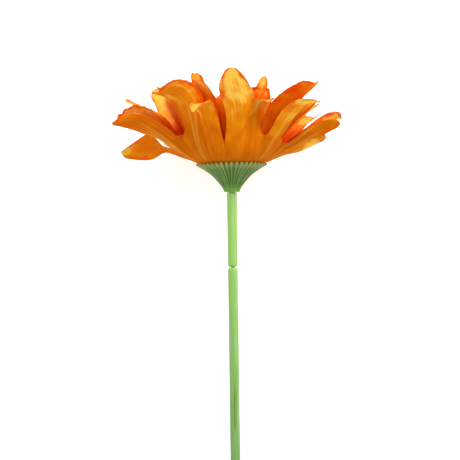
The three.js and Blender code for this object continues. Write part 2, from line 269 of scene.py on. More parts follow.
def add_mesh(name, vertices, faces, finish, marks=None, sharp=None):
    """A mesh object with this finish. marks are point attributes that its finish reads."""
    mesh = bpy.data.meshes.new(name)
    mesh.from_pydata([tuple(v) for v in vertices], [], [[int(i) for i in face] for face in faces])
    mesh.update()
    for key, values in (marks or {}).items():
        values = np.asarray(values, np.float32)
        kind, field = ("FLOAT_VECTOR", "vector") if values.ndim == 2 else ("FLOAT", "value")
        mesh.attributes.new(key, kind, "POINT").data.foreach_set(field, values.reshape(-1))
    mesh.materials.append(finish)
    mesh.shade_smooth()
    if sharp is not None:
        mesh.set_sharp_from_angle(angle=math.radians(sharp))
    piece = bpy.data.objects.new(name, mesh)
    bpy.context.scene.collection.objects.link(piece)
    return piece


def stands_for(piece, slot, *nodes):
    """The piece rides on the only body, in the place of these nodes. The slot is not used."""
    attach(piece, "root")
    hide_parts(*nodes)
    return piece


def lathe(profile, azimuths, shift=None):
    """A closed profile swept round the axis. shift(radius, height, azimuth) gives each point's new radius
    and height. Returns vertices, faces, and each vertex's radius, height and azimuth."""
    profile = np.asarray(profile, float)
    count, sides = len(profile), len(azimuths)
    radius = np.repeat(profile[:, :1], sides, 1)
    height = np.repeat(profile[:, 1:], sides, 1)
    azimuth = np.repeat(np.asarray(azimuths)[None, :], count, 0)
    if shift is not None:
        radius, height = shift(radius, height, azimuth)
    vertices = around(radius, azimuth, height).reshape(-1, 3)
    index = np.arange(count * sides).reshape(count, sides)
    below, above = index, np.roll(index, -1, 0)
    faces = np.stack([below, np.roll(below, -1, 1), np.roll(above, -1, 1), above], -1).reshape(-1, 4)
    return vertices, faces, radius.reshape(-1), height.reshape(-1), azimuth.reshape(-1)


# ---------------------------------------------------------------------------------------------------
# Finishes
# ---------------------------------------------------------------------------------------------------

class Finish:
    """A material whose nodes are added one call at a time."""

    def __init__(self, name, roughness, sheen=0.0, subsurface=0.0, metallic=0.0, specular=0.5):
        self.material = bpy.data.materials.new(name)
        self.material.use_nodes = True
        self.tree = self.material.node_tree
        self.shader = self.tree.nodes["Principled BSDF"]
        self.shader.inputs["Roughness"].default_value = roughness
        self.shader.inputs["Metallic"].default_value = metallic
        self.shader.inputs["Specular IOR Level"].default_value = specular
        if sheen:
            self.shader.inputs["Sheen Weight"].default_value = sheen
            self.shader.inputs["Sheen Roughness"].default_value = 0.45
        if subsurface:
            self.shader.inputs["Subsurface Weight"].default_value = subsurface
            self.shader.inputs["Subsurface Scale"].default_value = 1.0

    def node(self, kind, **values):
        node = self.tree.nodes.new(kind)
        for key, value in values.items():
            setattr(node, key, value)
        return node

    def join(self, source, socket):
        if isinstance(source, bpy.types.NodeSocket):
            self.tree.links.new(source, socket)
        else:
            socket.default_value = source

    def mark(self, name, vector=False):
        node = self.node("ShaderNodeAttribute", attribute_name=name)
        return node.outputs["Vector" if vector else "Fac"]

    def math(self, operation, a, b=0.0, c=0.0):
        node = self.node("ShaderNodeMath", operation=operation)
        for socket, value in zip(node.inputs, (a, b, c)):
            self.join(value, socket)
        return node.outputs[0]

    def ease(self, value, low, high, to_low=0.0, to_high=1.0):
        node = self.node("ShaderNodeMapRange", interpolation_type="SMOOTHSTEP")
        for socket, given in zip(node.inputs, (value, low, high, to_low, to_high)):
            self.join(given, socket)
        return node.outputs[0]

    def varied(self, value, clouds, depth):
        """The value with a noise added to it, depth times, about the noise's own middle."""
        return self.math("MULTIPLY_ADD", self.math("SUBTRACT", clouds, 0.5), depth, value)

    def scaled(self, vector, scale):
        node = self.node("ShaderNodeVectorMath", operation="MULTIPLY")
        self.join(vector, node.inputs[0])
        node.inputs[1].default_value = scale
        return node.outputs[0]

    def noise(self, vector, scale, detail=2.0, roughness=0.5):
        node = self.node("ShaderNodeTexNoise")
        self.join(vector, node.inputs["Vector"])
        node.inputs["Scale"].default_value = scale
        node.inputs["Detail"].default_value = detail
        node.inputs["Roughness"].default_value = roughness
        return node.outputs["Fac"]

    def place(self):
        return self.node("ShaderNodeTexCoord").outputs["Object"]

    def ramp(self, value, stops):
        node = self.node("ShaderNodeValToRGB")
        elements = node.color_ramp.elements
        while len(elements) < len(stops):
            elements.new(0.5)
        for element, (position, colour) in zip(elements, stops):
            element.position = position
            element.color = (*colour, 1.0)
        self.join(value, node.inputs[0])
        return node.outputs[0]

    def mix(self, share, a, b, blend="MIX"):
        node = self.node("ShaderNodeMix", data_type="RGBA", blend_type=blend)
        colours = [socket for socket in node.inputs if socket.type == "RGBA"]
        self.join(share, node.inputs[0])
        for socket, colour in zip(colours, (a, b)):
            self.join(colour if isinstance(colour, bpy.types.NodeSocket) else (*colour, 1.0), socket)
        return next(socket for socket in node.outputs if socket.type == "RGBA")

    def colour(self, source):
        self.join(source, self.shader.inputs["Base Color"])

    def roughness(self, source):
        self.join(source, self.shader.inputs["Roughness"])

    def bump(self, height, depth, strength=1.0):
        node = self.node("ShaderNodeBump")
        node.inputs["Strength"].default_value = strength
        node.inputs["Distance"].default_value = depth
        self.join(height, node.inputs["Height"])
        self.join(node.outputs[0], self.shader.inputs["Normal"])


def satin_cloth(name, petals):
    """Dyed satin: deep orange at the root and paler towards the tip, partly its dye and partly painted
    light, with painted shade at the root and painted light at the tip; redder at the edges and inside.
    """
    finish = Finish(name, roughness=0.7, sheen=0.05, subsurface=0.12, specular=0.04)
    finish.shader.inputs["IOR"].default_value = 1.3
    finish.shader.inputs["Sheen Tint"].default_value = (1.0, 0.45, 0.1, 1.0)
    finish.shader.inputs["Specular Tint"].default_value = (1.0, 0.6, 0.25, 1.0)
    finish.shader.inputs["Subsurface Radius"].default_value = (0.0012, 0.0004, 0.00005)
    along = finish.mark("along")
    across = finish.mark("across")
    tone = finish.mark("tone")
    inner = finish.mark("inner")
    cloth = finish.mark("cloth", vector=True)
    clouds = finish.noise(cloth, 130, detail=2)
    streaks = finish.noise(finish.scaled(cloth, (1.0, 0.08, 1.0)), 800, detail=3)
    # From root to tip the colour runs from deep orange to pale yellow: partly the dye, partly painted
    # shade near the calyx and painted light towards the tip.
    run = finish.math("MULTIPLY_ADD", tone, 0.24, along)
    run = finish.varied(run, clouds, 1.1)
    run = finish.varied(run, streaks, 0.5)
    body = finish.ramp(run, [
        (0.08, petals.root_colour_and_shade),
        (0.46, petals.middle_colour),
        (0.78, petals.blade_colour),
        (1.0, petals.tip_colour_and_light),
    ])
    # Painted highlight: the pressed folds are painted paler, towards the tip colour.
    fold = finish.math("MULTIPLY", finish.mark("fold"), 0.3)
    body = finish.mix(fold, body, petals.tip_colour_and_light)

    # The red dye gathers in patches along the edges, more of it near the tip and none at the root.
    patches = finish.noise(cloth, 210, detail=3)
    edge = finish.math("MULTIPLY_ADD", finish.mark("blush"), 0.35, finish.math("ABSOLUTE", across))
    edge = finish.varied(edge, patches, 1.9)
    edge = finish.math("MULTIPLY_ADD", finish.math("SUBTRACT", along, 0.8), 0.5, edge)
    edge = finish.ease(edge, 0.72, 1.3, 0.0, 0.9)
    edge = finish.math("MULTIPLY", edge, finish.ease(along, 0.3, 0.75))
    body = finish.mix(edge, body, petals.edge_colour)
    deep = finish.math("MULTIPLY", inner, finish.ease(along, 0.2, 1.0, 0.95, 0.3))
    finish.colour(finish.mix(deep, body, petals.throat_colour))
    finish.roughness(finish.ease(streaks, 0.25, 0.75, 0.6, 0.8))

    # Fine threads run along the cloth, and a few moulded veins.
    fibres = finish.noise(finish.scaled(cloth, (1.0, 0.07, 1.0)), 3200, detail=1)
    veins = finish.math("COSINE", finish.math("MULTIPLY", across, 8 * math.pi))
    relief = finish.math("MULTIPLY_ADD", veins, 0.2, fibres)
    finish.bump(relief, 0.00018, 0.7)
    return finish.material


def moulded_green(name, colours, gloss=0.42, specular=0.25):
    """Polyethylene with faint lengthwise lines. colours are (share along it, colour) stops."""
    finish = Finish(name, roughness=gloss, subsurface=0.12, specular=specular)
    finish.shader.inputs["Subsurface Radius"].default_value = (0.0008, 0.0012, 0.0004)
    height = finish.mark("along")
    cloth = finish.mark("cloth", vector=True)
    clouds = finish.noise(finish.place(), 160, detail=2)
    lines = finish.noise(finish.scaled(cloth, (1.0, 0.015, 1.0)), 2400, detail=2)
    body = finish.ramp(finish.varied(height, clouds, 0.12), colours)
    lighter = finish.mix(0.35, body, (1.0, 1.0, 0.8), "SCREEN")
    finish.colour(finish.mix(finish.ease(lines, 0.42, 0.7, 0.0, 0.35), body, lighter))
    finish.roughness(finish.ease(clouds, 0.3, 0.7, gloss - 0.06, gloss + 0.08))
    finish.bump(lines, 0.00008, 0.5)
    return finish


# ---------------------------------------------------------------------------------------------------
# Settings
# ---------------------------------------------------------------------------------------------------

def length(text, default, description):
    return FloatProperty(
        name=text, description=description, default=default, min=0.0, unit="LENGTH", precision=5
    )


def colour(text, default, description):
    return FloatVectorProperty(
        name=text, description=description, default=default, size=3, subtype="COLOR", min=0.0, max=1.0
    )


class PetalSettings(PropertyGroup):
    thickness: length("Cloth", 0.22 * MM, "Thickness of the petals' cloth")
    tip_round: length("Tip rounding", 1.5 * MM, "How far the middle of a tip stands past its corners")
    pleat_depth: length("Pleats", 0.3 * MM, "Depth of the long pleats pressed into a petal")
    ripple_depth: length("Edge ripple", 0.75 * MM, "How far a petal's edges wave out of its surface")
    crumple_depth: length("Crumple", 0.5 * MM, "Depth of the cloth's uneven hollows")
    fold_depth: length("Folds", 0.45 * MM, "Height of the narrow folds pressed along some petals")
    web_height: length("Joined base", 9.0 * MM, "How far past the calyx the outer petals are one cloth")
    rows: IntProperty(name="Rows", description="Rows of faces along a petal", default=52, min=12)
    columns: IntProperty(name="Columns", description="Points across a petal", default=31, min=7)
    # The root to tip colours are partly the dye and partly painted light: painted shade in the root
    # colour, painted light in the tip colour.
    root_colour_and_shade: colour("Root", linear(204, 102, 5), "Colour of the outer face near the calyx")
    middle_colour: colour("Middle", linear(220, 116, 7), "Colour a third of the way along")
    blade_colour: colour("Blade", linear(236, 140, 12), "Colour of the broad part")
    tip_colour_and_light: colour("Tip", linear(251, 197, 78), "Colour at the tip")
    edge_colour: colour("Edge", linear(236, 84, 8), "Dye gathered along the edges")
    throat_colour: colour("Throat", linear(226, 62, 2), "Colour of the inner face near the calyx")


class CalyxSettings(PropertyGroup):
    fine_ribs: IntProperty(name="Fine ribs", description="Ribs at the rim", default=42, min=12)
    main_ribs: IntProperty(name="Main ribs", description="Ribs at the foot", default=14, min=4)
    relief: length("Rib height", 0.42 * MM, "Height of a rib above its groove")
    tooth: length("Tooth length", 1.5 * MM, "Length of the rim's teeth")
    # Foot to rim: partly the plastic's colour, partly painted light: a brighter lit foot, painted shade on
    # the flare under the petals, and light from the petals through the thin rim painted into its colour.
    foot_colour_and_light: colour("Foot", linear(126, 188, 84), "Colour at the foot")
    side_colour_and_shade: colour("Side", linear(76, 118, 30), "Colour of the flare")
    # Painted shade between the ribs and a painted highlight along them.
    groove_shade_colour: colour("Groove", linear(52, 84, 22), "Colour between the ribs")
    ridge_highlight_colour: colour("Ridge", linear(134, 158, 66), "Colour along the ribs")
    rim_colour_and_light: colour("Rim", linear(140, 142, 60), "Colour of the thin rim, with the petals behind it")


class StemSettings(PropertyGroup):
    slit_from: length("Slit start", 84 * MM, "Distance from the calyx at which the wire starts to show")
    slit_to: length("Slit end", 111 * MM, "Distance from the calyx at which the slit closes")
    slit_width: length("Slit width", 0.5 * MM, "Width of the slit in the sheath")
    upper_colour: colour("Upper", linear(142, 190, 92), "Colour near the calyx")
    lower_colour: colour("Lower", linear(106, 156, 74), "Colour towards the cut end")
    fade: length("Fade", 130 * MM, "Distance from the calyx over which the lower colour comes in")
    slit_colour: colour("Slit", linear(128, 118, 52), "Colour where the wire shows through")


class CentreSettings(PropertyGroup):
    tufts: IntProperty(name="Tufts", description="Tufts on the button", default=150, min=20)
    outer_strips: IntProperty(
        name="Outer fringe", description="Strips in the outer fringe", default=64, min=12
    )
    inner_strips: IntProperty(
        name="Inner fringe", description="Strips in the inner fringe", default=46, min=12
    )
    button_colour: colour("Button", linear(86, 48, 18), "Colour of the plush")
    fringe_root: colour("Fringe root", linear(150, 84, 20), "Colour of the fringe at its root")
    fringe_tip: colour("Fringe tip", linear(238, 176, 60), "Colour of the fringe at its ends")


class StageSettings(PropertyGroup):
    floor_size: length("Floor size", 6.0, "Side of the square floor")
    camera_distance: length("Camera distance", 0.56, "From the camera to the flower's axis")
    camera_lens: FloatProperty(name="Lens", description="Focal length", default=94.7, min=1, unit="CAMERA")
    camera_roll: FloatProperty(
        name="Camera roll", description="Tilt of the picture", default=math.radians(-0.75), subtype="ANGLE"
    )
    floor_colour: colour("Floor", (0.93, 0.93, 0.93), "Colour of the floor")


class GerberaSettings(PropertyGroup):
    petals: PointerProperty(type=PetalSettings)
    calyx: PointerProperty(type=CalyxSettings)
    stem: PointerProperty(type=StemSettings)
    centre: PointerProperty(type=CentreSettings)
    stage: PointerProperty(type=StageSettings)


# ---------------------------------------------------------------------------------------------------
# Petals
# ---------------------------------------------------------------------------------------------------

ROOT_ROWS = 3  # rows of a petal's solid that lie inside the calyx
WHORLS = ("outer", "second", "third", "inner")
# How much of the throat's deep dye the outer face of each whorl's petals takes.
OUTSIDE_DYE = {"outer": 0.0, "second": 0.5, "third": 0.7, "inner": 0.9}
EDGE_BUNCHING = 1.3  # how much closer the points across a petal stand at its edges
NARROW = 3 * MM  # a petal with a smaller half width than this has shallower tears and hollows
TEAR_DEPTH = 1.6 * MM  # the deepest tear in the tip of a fully ragged petal
FOLD_WIDTH = 0.09  # of a pressed fold, as a share of the petal's half width
THREAD_STEPS = 6

# How single petals differ from their plain solids.
#   shift, lean: millimetres towards growing azimuth, from the petal's middle on, and at its tip
#   lift: millimetres towards the flower's axis
#   turn: degrees about the petal's own middle line
#   web: millimetres past the calyx over which it is one cloth with its neighbour on the right
#   tip, blunt: the tip's share of the petal, and how square it is, where 2 is an ellipse
#   longer: how many tip roundings it ends past its solid
#   fuller, waist: shares wider towards its tip, and narrower at its middle
#   ragged, threads: how frayed its edges are, and how many threads have come loose
#   pleats, folds: how many long waves it has across it, and narrow pressed folds
#   tone, blush, dye: paler above 0, redder edges, and its own share of the deep dye
LOOKS = {
    "outer_1": {"shift": 7.7, "lean": -10.2, "tip": 0.58, "fuller": 0.12, "blunt": 2.15, "tone": 0.75,
                "longer": -0.1, "pleats": 0.8, "web": 24.0, "blush": 0.3},
    "outer_2": {"tone": 0.1, "web": 13.0, "fuller": -0.28, "shift": -0.4, "lean": 1.0, "blush": 0.4},
    "outer_3": {"tone": -0.5, "web": 27.0, "blunt": 3.0, "tip": 0.25, "ragged": 0.4, "longer": -0.6,
                "shift": 3.0, "fuller": 0.12, "lean": -6.0, "blush": 0.4, "folds": 2},
    "outer_4": {"tone": -2.1, "web": 17.5, "ragged": 0.5, "threads": 2, "fuller": 0.2, "pleats": 2.2,
                "blunt": 1.45, "tip": 0.6, "lift": 2.4, "folds": 4},
    "outer_5": {"tone": -0.9, "web": 18.0, "blunt": 1.25, "ragged": 0.2, "tip": 0.34, "waist": 0.7,
                "fuller": 0.3, "lean": -3.6, "lift": 2.0, "blush": 0.6},
    "outer_6": {"tone": 1.3, "tip": 0.6, "longer": 2.0, "fuller": 0.1, "lean": -3.0, "turn": -22.0,
                "blush": 0.2},
    "outer_10": {"blunt": 3.0, "tip": 0.2},
    "outer_11": {"tone": 0.3, "web": 13.0, "ragged": 0.7, "threads": 4, "pleats": 2.4, "tip": 0.65,
                 "blunt": 1.5, "lean": -2.0, "folds": 3},
    "outer_12": {"tone": -2.1, "web": 10.0, "ragged": 0.2, "pleats": 2.6, "fuller": -0.2, "shift": 0.3,
                 "folds": 4},
    "outer_13": {"tone": 0.5, "web": 15.0, "pleats": 0.7, "tip": 0.45, "folds": 1},
    "outer_14": {"tone": 0.2, "web": 16.0, "blunt": 2.6, "blush": 0.5},
    "second_1": {"tone": -1.0, "dye": 1.0},
    "second_3": {"tone": -0.2, "blunt": 3.0, "tip": 0.2, "ragged": 0.5, "longer": -0.5, "blush": 0.5},
    "second_4": {"tone": 0.9, "ragged": 0.9, "threads": 2, "lift": -0.4, "fuller": 0.25, "longer": -1.0,
                 "turn": 11.0, "blush": 0.3, "folds": 2},
    "second_5": {"tone": 0.4, "blunt": 3.0, "fuller": 0.5, "lift": 3.0, "longer": 0.0},
    "second_7": {"blunt": 3.0, "tip": 0.25, "fuller": -0.15, "blush": 0.5},
    "second_12": {"tone": 0.2, "ragged": 0.3, "blunt": 3.5, "fuller": 0.4, "tip": 0.2, "lift": -0.7,
                  "longer": -0.6, "blush": 0.7},
    "second_13": {"tone": 0.0, "ragged": 0.9, "threads": 2, "fuller": 0.2, "longer": -2.5, "blush": 0.4},
    "second_14": {"tone": -0.6, "blunt": 3.2, "tip": 0.3, "fuller": 0.4, "shift": -1.2, "lean": 2.8,
                  "blush": 0.9},
    "second_15": {"tone": -0.5, "blunt": 3.0, "fuller": 0.15, "blush": 0.7},
}


def whorl_nodes(whorl):
    """A whorl's nodes in the order of their numbers."""
    names = [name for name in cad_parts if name.startswith(f"petal_{whorl}_")]
    return sorted(names, key=lambda name: int(name.rsplit("_", 1)[1]))


def azimuth_of(rows):
    """Where round the axis a petal leaves the calyx."""
    place = to_flower(rows[ROOT_ROWS].mean(0))
    return math.atan2(place[0], place[1])


class PetalShape:
    """A petal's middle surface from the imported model, and the way along it."""

    def __init__(self, node):
        self.name = node.removeprefix("petal_")
        self.rows = cloth_rows(node)
        middle = self.rows[:, 1:3].mean(1)
        steps = np.linalg.norm(np.diff(middle, axis=0), axis=1)
        self.stations = np.concatenate([[0], np.cumsum(steps)])
        self.leaves = self.stations[ROOT_ROWS]
        self.free = self.stations[-1] - self.leaves
        self.halves = np.linalg.norm(np.diff(self.rows, axis=1), axis=-1).sum(1) / 2
        last = middle[-1] - middle[-2]
        self.heading = last / np.linalg.norm(last)
        self.widest = self.stations[np.argmax(self.halves)]
        self.web = (0.0, 0.0)

    def half_widths(self, at):
        """The solid's half width at the stations at."""
        return hermite(self.stations, self.halves[:, None], at)[..., 0]

    def inward(self, at):
        """The petal's own direction towards the flower's axis, at the stations at."""
        facing = surface_normals(self.rows).mean(1)
        towards = hermite(self.stations, facing, np.minimum(at, self.stations[-1]))
        return towards / np.linalg.norm(towards, axis=-1, keepdims=True)

    def edge(self, side, at):
        """Its edge at the stations at, on the side -1 or 1."""
        return hermite(self.stations, self.rows[:, 0 if side < 0 else -1], at)


def web_shift(shape, other, side, along, height):
    """How far an outer petal's edge moves to meet its neighbour's, where they are one cloth."""
    beyond = along - shape.leaves
    own = shape.edge(side, along)
    theirs = other.edge(-side, np.clip(beyond + other.leaves, 0, other.stations[-1]))
    gap = theirs - own
    hair = 0.02 * MM / np.maximum(np.linalg.norm(gap, axis=-1, keepdims=True), MM / 10)
    opens = 2.5 * MM
    share = 1 - smoothstep(height - opens, height, beyond)
    return gap * np.maximum(0.5 - hair, 0) * share[..., None]


def read_across(shape, at, q):
    """The petal's surface at the stations at, and at q half widths from its middle, both ways. It goes
    straight on past its own edges and end."""
    end = shape.stations[-1]
    inside = np.clip(q, -1, 1).reshape(-1)
    step = 0.02
    inner = np.where(np.abs(q.reshape(-1)) > 1, inside * (1 - step), inside)
    flat = at.reshape(-1)
    within = np.minimum(flat, end)
    rows = np.stack([hermite(shape.stations, shape.rows[:, j], within) for j in range(4)], 1)
    here = np.einsum("nk,nkd->nd", across_weights(inside), rows)
    back = np.einsum("nk,nkd->nd", across_weights(inner), rows)
    past = (q.reshape(-1) - inside)[:, None]
    sideways = (here - back) / step * np.sign(inside)[:, None]
    place = here + sideways * past + np.maximum(flat - end, 0)[:, None] * shape.heading
    return place.reshape(*at.shape, 3)


def turned(grid, turn):
    """A petal's surface with each row turned about the petal's middle line. A positive turn brings the
    edge of the greater azimuth towards the flower's axis."""
    middle = grid[:, grid.shape[1] // 2]
    along = np.gradient(middle, axis=0)
    along /= np.linalg.norm(along, axis=1, keepdims=True)
    aside = grid - middle[:, None]
    upright = np.cross(along[:, None], aside)
    lengthwise = along[:, None] * (aside * along[:, None]).sum(-1, keepdims=True)
    cosine, sine = np.cos(turn)[:, None, None], np.sin(turn)[:, None, None]
    return middle[:, None] + aside * cosine + upright * sine + lengthwise * (1 - cosine)


def petal_outline(shape, settings, look):
    """The rows' places along a petal, its half width at each, and how far each is shifted aside."""
    hidden_rows = 6
    root = np.linspace(0, shape.leaves, hidden_rows, endpoint=False)
    end = shape.stations[-1] + settings.tip_round * look.get("longer", 1.0)
    starts = shape.leaves + (end - shape.leaves) * (1 - look.get("tip", 0.36))
    blade_rows = int(settings.rows * 0.6)
    blade = np.linspace(shape.leaves, starts, blade_rows)[:-1]
    quarter = np.linspace(0, math.pi / 2, settings.rows - blade_rows)
    sine = np.sin(quarter) * 0.998  # stops just short of a row with no width
    tip = starts + (end - starts) * sine
    along = np.concatenate([root, blade, tip])
    own = shape.half_widths(np.minimum(along, shape.widest))
    power = look.get("blunt", 2.0)
    taper = (1 - sine**power) ** (1 / power)
    half = own * np.concatenate([np.ones(len(root) + len(blade)), taper])
    share = (along - shape.leaves) / shape.free
    fuller = 1 + look.get("fuller", 0.0) * smoothstep(shape.leaves, starts, along)
    fuller = fuller - look.get("waist", 0.0) * np.exp(-((share - 0.46) / 0.11) ** 2)
    lean = look.get("lean", 0.0) * MM * smoothstep(starts - 0.3 * (end - starts), end, along)
    lean = lean + look.get("shift", 0.0) * MM * smoothstep(0.2, 0.7, share)
    return along, half * fuller, lean


def frayed(v, u, share, room, ragged, phase, chance):
    """Where along the petal each point of its grid is read, with the tears of its tip, and how wide each
    point's row is on its own side, with the jags of its edges."""
    tears = np.array([chance.uniform(-1, 0.4) for _ in u])
    at = v[:, None] + TEAR_DEPTH * ragged * tears[None, :] * smoothstep(0.75, 1, share)[:, None] * room
    jags = np.array([[chance.uniform(-0.12, 0.05) for _ in (0, 1)] for _ in v])
    jags = jags * ragged * smoothstep(0.4, 0.8, share)[:, None]
    waver = 1 + 0.025 * np.sin(9 * share + phase) * smoothstep(0.2, 0.6, share)
    width = np.where(u[None, :] < 0, (waver + jags[:, 0])[:, None], (waver + jags[:, 1])[:, None])
    return at, width


def join_neighbours(grid, shape, v, u, left, right):
    """Move the grid's edges to meet the neighbours near the calyx, and say how firmly each point is held
    there, 0 to 1."""
    held = np.zeros(grid.shape[:2])
    for side, other, height in ((-1, left, shape.web[0]), (1, right, shape.web[1])):
        if other is not None:
            shift = web_shift(shape, other, side, v, height)
            grid += shift[:, None, :] * smoothstep(0.1, 1, side * u)[None, :, None]
            bound = 1 - smoothstep(height, height + 8 * MM, v - shape.leaves)
            held = np.maximum(held, bound[:, None] * smoothstep(0.3, 1, side * u)[None, :])
    return held


def pleats_and_ripples(s, a, settings, pleats, phase):
    """How far the long pleats and the waving edges stand out of the surface, at the shares s and a."""
    opened = smoothstep(0.02, 0.25, s)
    pressed = np.cos(pleats * math.tau * a + phase[1]) * opened
    pressed = pressed * (1 - 0.8 * smoothstep(0.4, 0.9, s))
    offset = settings.pleat_depth * pressed
    for side in (-1, 1):
        wave = np.sin(math.tau * (1.5 + 0.5 * math.sin(phase[2])) * s + phase[3] + side)
        fade = opened * smoothstep(0.25, 0.5, s) * (1 - 0.7 * smoothstep(0.85, 1, s))
        offset = offset + settings.ripple_depth * wave * fade * np.clip(side * a, 0, 1) ** 2.5
    return offset


def pressed_folds(s, a, count, chance):
    """Narrow folds along the petal, as 0 to 1 at the shares s and a."""
    folds = np.zeros((len(s), a.shape[1]))
    for _ in range(count):
        line = chance.uniform(-0.75, 0.75) * (0.5 + 0.5 * s)
        line = line + 0.1 * np.sin(3 * s + chance.uniform(0, 6))
        fade = smoothstep(0.0, 0.08, s) * (1 - smoothstep(chance.uniform(0.35, 0.6), 0.9, s))
        folds = np.maximum(folds, np.exp(-((a - line) / FOLD_WIDTH) ** 2) * fade)
    return folds


def crumpled(grid, phase):
    """Uneven hollows of the cloth, -1 to 1 at each point of the grid."""
    place = Vector((phase[4], phase[5], 0))
    return np.array([[noise.noise(Vector(point) * 110 + place) for point in row] for row in grid])


def petal_grid(shape, settings, chance, left=None, right=None):
    """The petal's fine surface, the shares along and across it of its points, and its pressed folds."""
    look = LOOKS.get(shape.name, {})
    u = np.sin(np.linspace(-1, 1, settings.columns) * EDGE_BUNCHING) / math.sin(EDGE_BUNCHING)
    v, half, lean = petal_outline(shape, settings, look)
    share = (v - shape.leaves) / shape.free
    room = np.minimum(1, half / NARROW)[:, None]
    phase = [chance.uniform(0, math.tau) for _ in range(8)]
    at, width = frayed(v, u, share, room, look.get("ragged", 0.15), phase[0], chance)
    own = shape.half_widths(np.minimum(v, shape.stations[-1]))
    q = (u[None, :] * half[:, None] * width + lean[:, None]) / own[:, None]
    turn = math.radians(look.get("turn", 0.0)) * smoothstep(0.1, 0.5, share)
    grid = turned(read_across(shape, at, q), turn)
    lift = look.get("lift", 0.0) * MM * smoothstep(0.15, 0.6, share)
    grid += lift[:, None, None] * shape.inward(v)[:, None]
    held = join_neighbours(grid, shape, v, u, left, right)
    normal = surface_normals(grid)
    s, a = share[:, None], u[None, :]
    offset = pleats_and_ripples(s, a, settings, look.get("pleats", 1.2), phase)
    folds = pressed_folds(s, a, look.get("folds", 0), chance)
    offset = offset - settings.fold_depth * folds
    offset = offset + settings.crumple_depth * crumpled(grid, phase) * smoothstep(0.05, 0.4, s)
    return grid + normal * (offset * room * (1 - held))[..., None], share, u, folds


def loose_thread(shape, grid, share, chance):
    """A thin sliver of cloth that has come away from an edge, tapering to nothing."""
    rows, columns = grid.shape[:2]
    row = chance.randrange(int(rows * 0.45), int(rows * 0.85))
    side = chance.choice([0, columns - 1])
    inward = 1 if side == 0 else -1
    start = grid[row, side] + (grid[row, side + inward] - grid[row, side]) * 0.2
    along = grid[row + 1, side] - grid[row - 1, side]
    along /= np.linalg.norm(along)
    out = grid[row, side] - grid[row, side + inward]
    out /= np.linalg.norm(out)
    lean = chance.uniform(0.5, 1.1)
    reach = chance.uniform(2.5, 5.0) * MM
    width = chance.uniform(0.25, 0.4) * MM
    upright = np.cross(along, out)
    line = []
    for i in range(THREAD_STEPS + 1):
        t = i / THREAD_STEPS
        bow = math.sin(t * 2.2) * 0.25
        line.append(start + reach * (t * (along + lean * out) / (1 + lean) + bow * t * upright))
    vertices, faces = [], []
    for i in range(THREAD_STEPS):
        size = width * (1 - i / THREAD_STEPS) / 2
        flat = upright * size * 0.35
        vertices += [line[i] - out * size, line[i] + flat, line[i] + out * size, line[i] - flat]
    vertices.append(line[-1])
    for i in range(THREAD_STEPS - 1):
        for k in range(4):
            n = (k + 1) % 4
            faces.append([4 * i + k, 4 * i + n, 4 * i + 4 + n, 4 * i + 4 + k])
    last = 4 * (THREAD_STEPS - 1)
    faces += [[last + k, last + (k + 1) % 4, last + 4] for k in range(4)]
    faces.append([3, 2, 1, 0])
    return np.array(vertices), faces, float(share[row])


def make_petal(shape, node, finish, settings, left=None, right=None):
    """A petal's cloth in place of its solid, joined to the neighbours given."""
    chance = random.Random(f"{SEED} {shape.name}")
    grid, share, u, folds = petal_grid(shape, settings, chance, left, right)
    vertices, faces, inner = sheet_solid(grid, settings.thickness)
    vertices[:, 2] = np.maximum(vertices[:, 2], 0)
    faces = [list(face) for face in faces]
    rows, columns = grid.shape[:2]
    along = np.tile(np.repeat(share, columns), 2)
    across = np.tile(np.tile(u, rows), 2)
    look = LOOKS.get(shape.name, {})
    inner = np.where(inner, 1.0, look.get("dye", OUTSIDE_DYE[shape.name.split("_")[0]]))
    folds = np.tile(folds.reshape(-1), 2)
    for _ in range(look.get("threads", 0)):
        extra, extra_faces, where = loose_thread(shape, grid, share, chance)
        vertices, faces = joined([(vertices, faces), (extra, extra_faces)])
        along = np.concatenate([along, np.full(len(extra), where)])
        across = np.concatenate([across, np.full(len(extra), 0.9)])
        inner = np.concatenate([inner, np.zeros(len(extra))])
        folds = np.concatenate([folds, np.zeros(len(extra))])
    offset = 10 * chance.random()
    cloth = np.stack([across * shape.halves.max(), along * shape.free, np.full(len(across), offset)], -1)
    marks = {
        "along": along,
        "across": across,
        "inner": inner,
        # where the finish paints a highlight along the pressed folds
        "fold": folds,
        "tone": np.full(len(along), look.get("tone", chance.uniform(-0.7, 0.7))),
        "blush": np.full(len(along), look.get("blush", chance.uniform(0.0, 0.5))),
        "cloth": cloth,
    }
    piece = add_mesh(f"{shape.name}_cloth", vertices, faces, finish, marks, sharp=50)
    return stands_for(piece, "petal_cloth", node)


def web_height(shape, settings):
    """How far past the calyx this petal and its neighbour on the right are one cloth."""
    own = LOOKS.get(shape.name, {}).get("web")
    return settings.web_height if own is None else own * MM


class GERBERA_OT_petals(Operator):
    """Make one whorl of cloth petals"""

    bl_idname = "gerbera.petals"
    bl_label = "Petals"

    whorl: EnumProperty(
        name="Whorl",
        description="Which whorl of petals to make",
        items=[(name, name.capitalize(), f"The {name} whorl") for name in WHORLS],
    )

    def execute(self, context):
        settings = context.scene.gerbera.petals
        finish = satin_cloth(f"satin_{self.whorl}", settings)
        nodes = whorl_nodes(self.whorl)
        shapes = {node: PetalShape(node) for node in nodes}
        ordered = sorted(nodes, key=lambda node: azimuth_of(shapes[node].rows))
        for i, node in enumerate(ordered):
            left = right = None
            if self.whorl == "outer":
                left = shapes[ordered[i - 1]]
                right = shapes[ordered[(i + 1) % len(ordered)]]
                heights = [web_height(near, settings) for near in (left, shapes[node])]
                shapes[node].web = tuple(heights)
            make_petal(shapes[node], node, finish, settings, left, right)
        return {"FINISHED"}


# ---------------------------------------------------------------------------------------------------
# Calyx and stem
# ---------------------------------------------------------------------------------------------------

